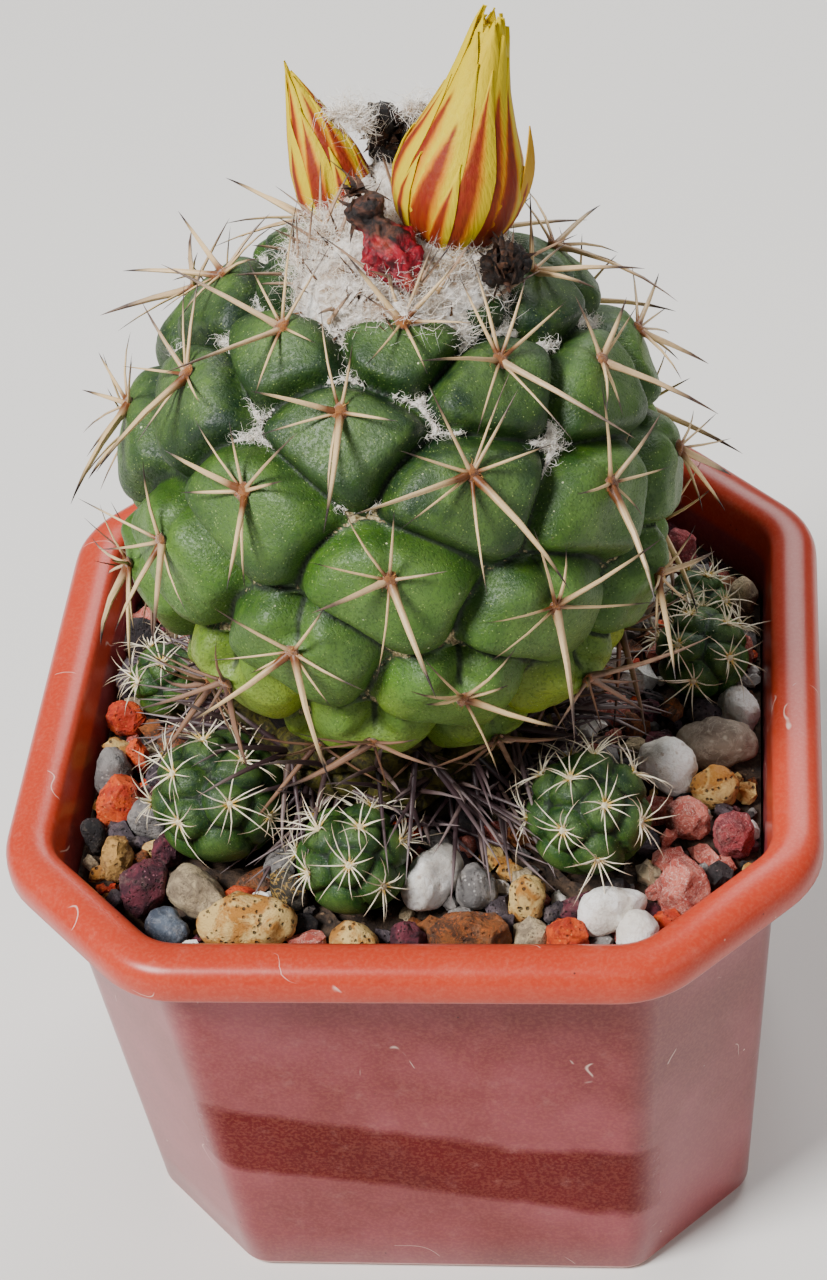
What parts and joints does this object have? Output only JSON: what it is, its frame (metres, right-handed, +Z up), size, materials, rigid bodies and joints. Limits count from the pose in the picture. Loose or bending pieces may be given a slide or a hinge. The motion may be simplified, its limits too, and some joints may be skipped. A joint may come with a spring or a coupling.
{
  "type": "potted cactus",
  "caption": "Globular spiny tubercled cactus with buds and small offsets, rooted in a chamfered square pot topped with mixed gravel.",
  "frame": {"origin": "on the ground under the middle of the pot, level with the underside of its foot", "axes": "+Z up; -Y is the side with the most offsets, seen in the picture; X and Y run along the flat sides of the pot"},
  "size_m": [0.1, 0.1, 0.1626],
  "materials": {
    "cactus_skin": "satin",
    "crown_wool": "matte",
    "dried_flower": "matte",
    "dried_fruit": "matte",
    "offset_skin": "satin",
    "petals": "matte",
    "pot_plastic": "satin",
    "potting_mix": "matte",
    "stone_black": "matte",
    "stone_brown": "matte",
    "stone_cream": "matte",
    "stone_gold": "matte",
    "stone_grey": "matte",
    "stone_lava": "matte",
    "stone_maroon": "matte",
    "stone_ochre": "matte",
    "stone_orange": "matte",
    "stone_pink": "matte",
    "stone_rose": "matte",
    "stone_slate": "matte",
    "stone_tan": "matte",
    "stone_taupe": "matte",
    "stone_white": "matte"
  },
  "bodies": {
    "root": {"bud_large": "petals", "bud_small": "petals", "cactus": "cactus_skin", "crown_wool": "crown_wool", "dried_flower_back": "dried_flower", "dried_flower_right": "dried_flower", "dried_fruit": "dried_fruit", "offset_back_right": "offset_skin", "offset_front": "offset_skin", "offset_front_left": "offset_skin", "offset_front_right": "offset_skin", "offset_left": "offset_skin", "offset_right": "offset_skin", "pebble_black_1": "stone_black", "pebble_black_2": "stone_black", "pebble_brown_1": "stone_brown", "pebble_brown_2": "stone_brown", "pebble_cream_1": "stone_cream", "pebble_cream_2": "stone_cream", "pebble_cream_3": "stone_cream", "pebble_cream_4": "stone_cream", "pebble_cream_5": "stone_cream", "pebble_gold_1": "stone_gold", "pebble_grey_1": "stone_grey", "pebble_grey_2": "stone_grey", "pebble_grey_3": "stone_grey", "pebble_grey_4": "stone_grey", "pebble_lava_1": "stone_lava", "pebble_lava_2": "stone_lava", "pebble_maroon_1": "stone_maroon", "pebble_maroon_2": "stone_maroon", "pebble_maroon_3": "stone_maroon", "pebble_ochre_1": "stone_ochre", "pebble_ochre_2": "stone_ochre", "pebble_orange_1": "stone_orange", "pebble_orange_2": "stone_orange", "pebble_orange_3": "stone_orange", "pebble_orange_4": "stone_orange", "pebble_orange_5": "stone_orange", "pebble_orange_6": "stone_orange", "pebble_pink_1": "stone_pink", "pebble_pink_2": "stone_pink", "pebble_pink_3": "stone_pink", "pebble_pink_4": "stone_pink", "pebble_rose_1": "stone_rose", "pebble_rose_2": "stone_rose", "pebble_slate_1": "stone_slate", "pebble_slate_2": "stone_slate", "pebble_tan_1": "stone_tan", "pebble_tan_2": "stone_tan", "pebble_taupe_1": "stone_taupe", "pebble_taupe_2": "stone_taupe", "pebble_white_1": "stone_white", "pebble_white_2": "stone_white", "pebble_white_3": "stone_white", "pebble_white_4": "stone_white", "pebble_white_5": "stone_white", "pebble_white_6": "stone_white", "pot": "pot_plastic", "potting_mix": "potting_mix"}
  },
  "joints": []
}
